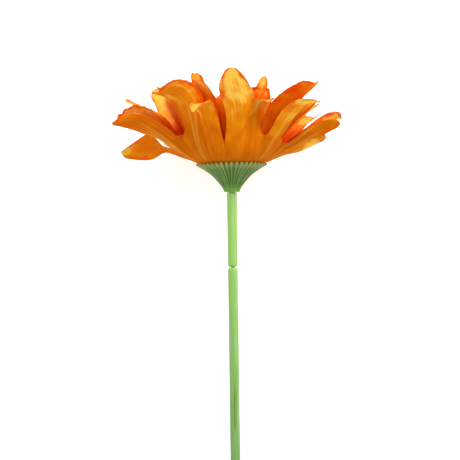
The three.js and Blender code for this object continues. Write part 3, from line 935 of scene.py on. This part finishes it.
def spread(profile, count):
    """Points evenly spaced on a smooth curve through a profile."""
    profile = np.asarray(profile, float)
    knots = np.concatenate([[0], np.cumsum(np.linalg.norm(np.diff(profile, axis=0), axis=1))])
    return hermite(knots, profile, np.linspace(0, knots[-1], count))


def turned_marks(radius, height, azimuth, low, high):
    """Where each point of a turned piece is: its share up the piece, and its place on the surface."""
    share = (height - low) / (high - low)
    cloth = np.stack([azimuth * radius.mean(), height, np.zeros(len(height))], -1)
    return {"along": share, "cloth": cloth}


class GERBERA_OT_calyx(Operator):
    """Make the ribbed calyx with its toothed rim"""

    bl_idname = "gerbera.calyx"
    bl_label = "Calyx"

    def execute(self, context):
        settings = context.scene.gerbera.calyx
        outer_levels, inner_levels, sides_per_rib = 30, 14, 10
        outline = meridian("calyx")
        rim = int(np.argmax(outline[:, 0]))
        outer = spread(outline[2:rim + 1], outer_levels)
        inner = spread(outline[rim + 1:-1], inner_levels)
        profile = np.concatenate([outline[:2], outer, inner, outline[-1:]])
        top = outer[-1, 1]
        direction = outer[-1] - outer[-2]
        direction /= np.linalg.norm(direction)
        azimuths = np.linspace(0, math.tau, settings.fine_ribs * sides_per_rib, endpoint=False)
        first_outer, last_outer = 2, 1 + outer_levels

        def ribs(radius, height, azimuth):
            """Round ribs with narrow grooves, broad ones at the foot and fine ones at the rim, and the
            rim's teeth."""
            level = np.arange(len(profile))[:, None]
            on_outside = (level >= first_outer) & (level <= last_outer)
            up = height / top
            fine = 1 - np.abs(np.sin(settings.fine_ribs * azimuth / 2)) ** 1.6
            main = 1 - np.abs(np.sin(settings.main_ribs * azimuth / 2)) ** 1.2
            swell = fine * smoothstep(0.35, 0.85, up) + 1.5 * main * (1 - smoothstep(0.3, 0.9, up))
            radius = radius + on_outside * settings.relief * (swell - 0.45)
            near_rim = np.exp(-((level - last_outer - 0.5) / 1.6) ** 2)
            point = 1 - np.abs(np.sin(settings.fine_ribs * azimuth / 2)) ** 2.4
            reach = settings.tooth * near_rim * (point - 0.5)
            return radius + reach * direction[0], height + reach * direction[1]

        vertices, faces, radius, height, azimuth = lathe(profile, azimuths, ribs)
        # Partly the plastic's colour and partly painted light: lit foot, painted shade on the flare, light
        # through the rim.
        finish = moulded_green("calyx_green", [
            (0.0, settings.foot_colour_and_light),
            (0.3, settings.side_colour_and_shade),
            (0.82, settings.side_colour_and_shade),
            (1.0, settings.rim_colour_and_light),
        ], specular=0.12)
        crest = 0.5 + 0.5 * np.cos(settings.fine_ribs * azimuth)
        marks = turned_marks(radius, height, azimuth, 0.0, top)
        marks["crest"] = crest
        body = finish.shader.inputs["Base Color"].links[0].from_socket
        # Painted shade darkens the grooves and a painted highlight lightens the crests of the ribs.
        groove = finish.ease(finish.mark("crest"), 0.0, 0.5, 0.6, 0.0)
        body = finish.mix(groove, body, settings.groove_shade_colour)
        ridge = finish.ease(finish.mark("crest"), 0.6, 1.0, 0.0, 0.4)
        finish.colour(finish.mix(ridge, body, settings.ridge_highlight_colour))
        piece = add_mesh("calyx_moulding", vertices, faces, finish.material, marks, sharp=55)
        stands_for(piece, "calyx_plastic", "calyx")
        return {"FINISHED"}


def sheath_finish(settings):
    """The stem's green plastic, with the wire's colour in the slit."""
    colours = [(0.0, settings.lower_colour), (1.0, settings.upper_colour)]
    finish = moulded_green("sheath_green", colours, gloss=0.4)
    body = finish.shader.inputs["Base Color"].links[0].from_socket
    finish.colour(finish.mix(finish.mark("slit"), body, settings.slit_colour))
    return finish.material


def make_sheath(name, node, settings, finish):
    """A piece of the stem's plastic sheath, from its own outline, with faint drawn lines."""
    sides = 96
    longest_step = 1.2 * MM
    slit_depth = 0.45 * MM
    outline = meridian(node)
    outer_from = int(np.argmax(outline[:, 0] > outline[0, 0] + 0.2 * MM))
    outline = np.roll(outline, -outer_from, 0)
    dense = [outline[0]]
    for start, end in zip(outline, np.roll(outline, -1, 0)):
        pieces = max(1, int(np.linalg.norm(end - start) / longest_step))
        dense += [start + (end - start) * (k + 1) / pieces for k in range(pieces)]
    profile = np.array(dense[:-1])
    azimuths = np.linspace(-math.pi, math.pi, sides, endpoint=False)
    full = outline[:, 0].max()
    bore = outline[:, 0].min()
    phase = sum(map(ord, name))

    def lines(radius, height, azimuth):
        skin = smoothstep(bore + 0.1 * MM, full - 0.7 * MM, radius)
        drawn = 0.012 * np.cos(23 * azimuth + phase) + 0.01 * np.cos(37 * azimuth + 2 * phase)
        slit = slit_share(height, azimuth, full, settings)
        return radius + skin * (drawn * MM - slit_depth * slit), height

    vertices, faces, radius, height, azimuth = lathe(profile, azimuths, lines)
    marks = turned_marks(radius, height, azimuth, profile[:, 1].min(), profile[:, 1].max())
    marks["along"] = 1 - smoothstep(0, settings.fade, -height)
    marks["slit"] = 0.85 * slit_share(height, azimuth, full, settings)
    piece = add_mesh(name, vertices, faces, finish, marks, sharp=50)
    return stands_for(piece, "stem_plastic", node)


def slit_share(height, azimuth, full, settings):
    """1 in the middle of the slit through which the wire shows, and 0 away from it."""
    across = np.abs(azimuth) * full / (settings.slit_width / 2)
    closes, opens = 3 * MM, 12 * MM
    along = smoothstep(-settings.slit_to, -settings.slit_to + closes, height)
    along = along * (1 - smoothstep(-settings.slit_from - opens, -settings.slit_from, height))
    return (1 - smoothstep(0.4, 1.2, across)) * along


class GERBERA_OT_stem(Operator):
    """Make the two pieces of the stem's plastic sheath and finish its wire"""

    bl_idname = "gerbera.stem"
    bl_label = "Stem"

    def execute(self, context):
        settings = context.scene.gerbera.stem
        finish = sheath_finish(settings)
        make_sheath("upper_sheath", "stem_neck", settings, finish)
        make_sheath("lower_sheath", "stem_main", settings, finish)
        wire = Finish("drawn_wire", roughness=0.35, metallic=1.0)
        grain = wire.noise(wire.scaled(wire.place(), (1.0, 0.04, 1.0)), 4000, detail=2)
        wire.colour(wire.ramp(grain, [(0.3, linear(120, 118, 112)), (0.7, linear(186, 184, 178))]))
        wire.roughness(wire.ease(grain, 0.3, 0.7, 0.28, 0.46))
        paint_node("stem_wire", wire.material)
        return {"FINISHED"}


def paint_node(node, material):
    """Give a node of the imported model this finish."""
    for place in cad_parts[node].material_slots:
        place.material = material


# ---------------------------------------------------------------------------------------------------
# Centre
# ---------------------------------------------------------------------------------------------------

STRIP_THICKNESS = 0.18 * MM
STRIP_ROWS = 7
TUFT_SIDES = 6


def strip(base, top, width, bow):
    """A narrow cloth strip from base to top, bowed outwards and tapering a little."""
    base, top = np.asarray(base), np.asarray(top)
    middle = (base + top) / 2 + bow
    t = np.linspace(0, 1, STRIP_ROWS)[:, None]
    line = (1 - t) ** 2 * base + 2 * t * (1 - t) * middle + t**2 * top
    outward = to_flower(top)
    aside = RIGHT * outward[1] - FRONT * outward[0]
    aside /= np.linalg.norm(aside)
    half = width / 2 * (1 - 0.65 * t**2)
    grid = np.stack([line - aside * half, line, line + aside * half], 1)
    vertices, faces, _ = sheet_solid(grid, STRIP_THICKNESS)
    return vertices, faces, np.tile(np.repeat(t[:, 0], 3), 2)


def crown(node, count, width, chance):
    """A crown of strips that fills a fringe's solid, on the ring that it stands on."""
    place = to_flower(welded(node)[0])
    radius = np.hypot(place[:, 0], place[:, 1])
    low, high = place[:, 2].min(), place[:, 2].max()
    seat = radius[place[:, 2] < low + 0.1 * MM]
    inner, outer = seat.min(), seat.max()
    reach = radius.max()
    rolled = low + 0.9 * MM
    ring = [(inner, low), (outer, low), (outer, rolled), (inner, rolled)]
    vertices, faces, *_ = lathe(ring, np.linspace(0, math.tau, 48, endpoint=False))
    parts = [(vertices, faces)]
    shares = [np.zeros(len(vertices))]
    for i in range(count):
        turn = math.tau * (i + 0.3 * chance.random()) / count
        depth = chance.random()
        base = around(inner + (outer - inner) * (0.25 + 0.5 * depth), turn, low + 0.5 * MM)
        lean = chance.uniform(-0.08, 0.08)
        height = high - chance.uniform(0.0, 0.28) * (high - low)
        top = around(inner + (reach - inner) * (0.45 + 0.5 * depth), turn + lean, height)
        bow = (around(1.0, turn, 0.0) - FOOT) * chance.uniform(-0.3, 0.1) * MM
        vertices, faces, share = strip(base, top, width * chance.uniform(0.75, 1.1), bow)
        parts.append((vertices, faces))
        shares.append(share)
    vertices, faces = joined(parts)
    return vertices, faces, np.concatenate(shares)


def fringe_finish(settings):
    """Cut cloth, darker at its root."""
    finish = Finish("fringe_cloth", roughness=0.65, sheen=0.3, specular=0.3)
    along = finish.mark("along")
    flecks = finish.noise(finish.place(), 1500, detail=2)
    run = finish.varied(along, flecks, 0.5)
    finish.colour(finish.ramp(run, [(0.1, settings.fringe_root), (0.9, settings.fringe_tip)]))
    finish.roughness(finish.ease(flecks, 0.3, 0.7, 0.55, 0.75))
    finish.bump(flecks, 0.0001, 0.6)
    return finish.material


class GERBERA_OT_fringes(Operator):
    """Make the two rolled fringes round the centre"""

    bl_idname = "gerbera.fringes"
    bl_label = "Fringes"

    def execute(self, context):
        settings = context.scene.gerbera.centre
        chance = random.Random(SEED)
        finish = fringe_finish(settings)
        plans = (
            ("fringe_outer", settings.outer_strips, 0.95 * MM),
            ("fringe_inner", settings.inner_strips, 0.75 * MM),
        )
        for node, count, width in plans:
            vertices, faces, share = crown(node, count, width, chance)
            piece = add_mesh(f"{node}_strips", vertices, faces, finish, {"along": share}, sharp=50)
            stands_for(piece, "fringe_cloth", node)
        return {"FINISHED"}


class GERBERA_OT_button(Operator):
    """Make the plush button in the middle and finish the peg that carries it"""

    bl_idname = "gerbera.button"
    bl_label = "Button"

    def execute(self, context):
        settings = context.scene.gerbera.centre
        vertices, faces, share = plush_dome(settings.tufts)
        finish = plush(settings)
        piece = add_mesh("plush_button", vertices, faces, finish, {"along": share}, sharp=60)
        stands_for(piece, "button_plush", "centre_button")
        peg = Finish("peg_green", roughness=0.5)
        clouds = peg.noise(peg.place(), 400, detail=2)
        peg.colour(peg.ramp(clouds, [(0.3, linear(120, 152, 84)), (0.7, linear(140, 172, 98))]))
        peg.bump(clouds, 0.0001, 0.3)
        paint_node("centre_peg", peg.material)
        return {"FINISHED"}


def plush_dome(tufts):
    """The button's dome with its tufts, in place of its solid: vertices, faces, and the share out along a
    tuft of each vertex."""
    place = to_flower(welded("centre_button")[0])
    edge = np.hypot(place[:, 0], place[:, 1]).max()
    low, high = place[:, 2].min(), place[:, 2].max()
    shoulder = low + 0.25 * (high - low)
    top = high - 0.2 * MM
    wall = 0.93 * edge
    tip = 0.03 * edge
    arc = np.linspace(0, math.pi / 2, 12)[:-1]
    dome = [(wall * math.cos(a), shoulder + (top - shoulder) * math.sin(a)) for a in arc]
    profile = [(tip, low), (wall, low), *dome, (tip, top)]
    vertices, faces, *_ = lathe(profile, np.linspace(0, math.tau, 40, endpoint=False))
    parts = [(vertices, faces)]
    shares = [np.zeros(len(vertices))]
    chance = random.Random(SEED)
    golden = math.pi * (3 - math.sqrt(5))
    for i in range(tufts):
        share = (i + 0.5) / tufts
        tilt = math.acos(1 - share * 0.97)
        radius = 0.9 * edge * math.sin(tilt)
        height = shoulder + (high - 0.5 * MM - shoulder) * math.cos(tilt)
        tuft, tuft_faces, tuft_share = make_tuft(radius, i * golden, height, tilt, chance)
        parts.append((tuft, tuft_faces))
        shares.append(tuft_share)
    vertices, faces = joined(parts)
    return vertices, faces, np.concatenate(shares)


def plush(settings):
    """Flocked pile, with painted shade darkening it between the tufts, and lighter at their ends."""
    finish = Finish("plush", roughness=0.9, sheen=0.5, specular=0.15)
    along = finish.mark("along")
    flecks = finish.noise(finish.place(), 2500, detail=2)
    # Painted shade: the dome between the tufts is painted dark.
    shade_between_tufts = tuple(0.35 * c for c in settings.button_colour)
    light = tuple(min(1.0, 1.7 * c) for c in settings.button_colour)
    run = finish.varied(along, flecks, 0.6)
    finish.colour(finish.ramp(run, [(0.0, shade_between_tufts), (0.6, settings.button_colour), (1.0, light)]))
    finish.bump(flecks, 0.0002, 0.8)
    return finish.material


def make_tuft(radius, turn, height, tilt, chance):
    """A short blunt cone standing out of the dome."""
    out = np.array([math.sin(tilt) * math.sin(turn), math.sin(tilt) * math.cos(turn), math.cos(tilt)])
    lean = np.array([chance.uniform(-0.25, 0.25) for _ in range(3)])
    line = out + lean
    line /= np.linalg.norm(line)
    side = np.cross(line, [0.3, 0.5, 0.8])
    side /= np.linalg.norm(side)
    other = np.cross(line, side)
    foot = np.array([radius * math.sin(turn), radius * math.cos(turn), height]) - line * 0.2 * MM
    reach = chance.uniform(0.45, 0.7) * MM
    vertices, share = [], []
    for step, size in ((0.0, 0.26), (0.55, 0.25), (0.9, 0.15)):
        for k in range(TUFT_SIDES):
            angle = math.tau * k / TUFT_SIDES
            ring = math.cos(angle) * side + math.sin(angle) * other
            vertices.append(foot + line * reach * step + ring * size * MM)
            share.append(step)
    vertices.append(foot + line * reach)
    share.append(1.0)
    faces = []
    last = 2 * TUFT_SIDES
    for k in range(TUFT_SIDES):
        n = (k + 1) % TUFT_SIDES
        for level in (0, TUFT_SIDES):
            above = level + TUFT_SIDES
            faces.append([level + k, level + n, above + n, above + k])
        faces.append([last + k, last + n, last + TUFT_SIDES])
    faces.append(list(reversed(range(TUFT_SIDES))))
    return from_flower(np.array(vertices)), faces, np.array(share)


# ---------------------------------------------------------------------------------------------------
# Stage
# ---------------------------------------------------------------------------------------------------

def add_light(name, place, target, size, power):
    """A round soft light that faces the target. Its power is in watts."""
    data = bpy.data.lights.new(name, "AREA")
    data.shape = "DISK"
    data.size = size
    data.energy = power
    light = bpy.data.objects.new(name, data)
    bpy.context.scene.collection.objects.link(light)
    light.location = place
    light.rotation_euler = (Vector(target) - Vector(place)).to_track_quat("-Z", "Y").to_euler()
    return light


class GERBERA_OT_stage(Operator):
    """Make the floor, the lights and the camera"""

    bl_idname = "gerbera.stage"
    bl_label = "Stage"

    def execute(self, context):
        settings = context.scene.gerbera.stage
        scene = context.scene
        head = Vector(from_flower([0, 0, 30 * MM]))
        half = settings.floor_size / 2
        corners = [(-half, -half, 0), (half, -half, 0), (half, half, 0), (-half, half, 0)]
        paper = Finish("paper", roughness=0.9, specular=0.1)
        grain = paper.noise(paper.place(), 300, detail=2)
        pale = tuple(settings.floor_colour)
        shaded = tuple(0.985 * c for c in pale)
        paper.colour(paper.ramp(grain, [(0.3, shaded), (0.7, pale)]))
        paper.shader.inputs["Emission Color"].default_value = (1.0, 1.0, 1.0, 1.0)
        paper.shader.inputs["Emission Strength"].default_value = 0.45
        floor = add_mesh("floor", corners, [[0, 1, 2, 3]], paper.material)

        world = bpy.data.worlds.new("studio")
        scene.world = world
        world.use_nodes = True
        world.node_tree.nodes["Background"].inputs["Color"].default_value = (1.0, 1.0, 1.0, 1.0)
        world.node_tree.nodes["Background"].inputs["Strength"].default_value = 0.6
        add_light("key", head + Vector((0.5, 0.7, 0.75)), head, size=0.7, power=14.5)
        add_light("fill", head + Vector((-0.6, -0.1, 0.9)), head, size=1.2, power=3.0)
        scene.view_settings.view_transform = "Standard"

        camera_data = bpy.data.cameras.new("camera")
        camera_data.lens = settings.camera_lens
        camera_data.sensor_width = 36.0
        camera_data.clip_start = 0.01
        camera = bpy.data.objects.new("camera", camera_data)
        scene.collection.objects.link(camera)
        place = from_flower([-1.1 * MM, settings.camera_distance, -17.6 * MM])
        facing = Matrix([RIGHT, AXIS, FRONT]).transposed()
        roll = Matrix.Rotation(settings.camera_roll, 3, "Z")
        camera.matrix_world = Matrix.Translation(Vector(place)) @ (facing @ roll).to_4x4()
        scene.camera = camera
        return {"FINISHED"}


class VIEW3D_PT_gerbera(Panel):
    """Lists the operators that make the flower, and their settings"""

    bl_label = "Gerbera"
    bl_idname = "VIEW3D_PT_gerbera"
    bl_space_type = "VIEW_3D"
    bl_region_type = "UI"
    bl_category = "Gerbera"

    def draw(self, context):
        layout = self.layout
        settings = context.scene.gerbera
        for group, operators in (
            (settings.petals, ["gerbera.petals"]),
            (settings.calyx, ["gerbera.calyx"]),
            (settings.stem, ["gerbera.stem"]),
            (settings.centre, ["gerbera.fringes", "gerbera.button"]),
            (settings.stage, ["gerbera.stage"]),
        ):
            box = layout.box()
            for name in group.__annotations__:
                box.prop(group, name)
            for operator in operators:
                box.operator(operator)


CLASSES = (
    PetalSettings,
    CalyxSettings,
    StemSettings,
    CentreSettings,
    StageSettings,
    GerberaSettings,
    GERBERA_OT_petals,
    GERBERA_OT_calyx,
    GERBERA_OT_stem,
    GERBERA_OT_fringes,
    GERBERA_OT_button,
    GERBERA_OT_stage,
    VIEW3D_PT_gerbera,
)


def register():
    for cls in CLASSES:
        bpy.utils.register_class(cls)
    bpy.types.Scene.gerbera = PointerProperty(type=GerberaSettings)


def unregister():
    del bpy.types.Scene.gerbera
    for cls in reversed(CLASSES):
        bpy.utils.unregister_class(cls)


def main():
    register()
    bpy.ops.gerbera.stage()
    for whorl in WHORLS:
        bpy.ops.gerbera.petals(whorl=whorl)
    bpy.ops.gerbera.calyx()
    bpy.ops.gerbera.stem()
    bpy.ops.gerbera.fringes()
    bpy.ops.gerbera.button()
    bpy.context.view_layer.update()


if __name__ == "__main__":
    main()
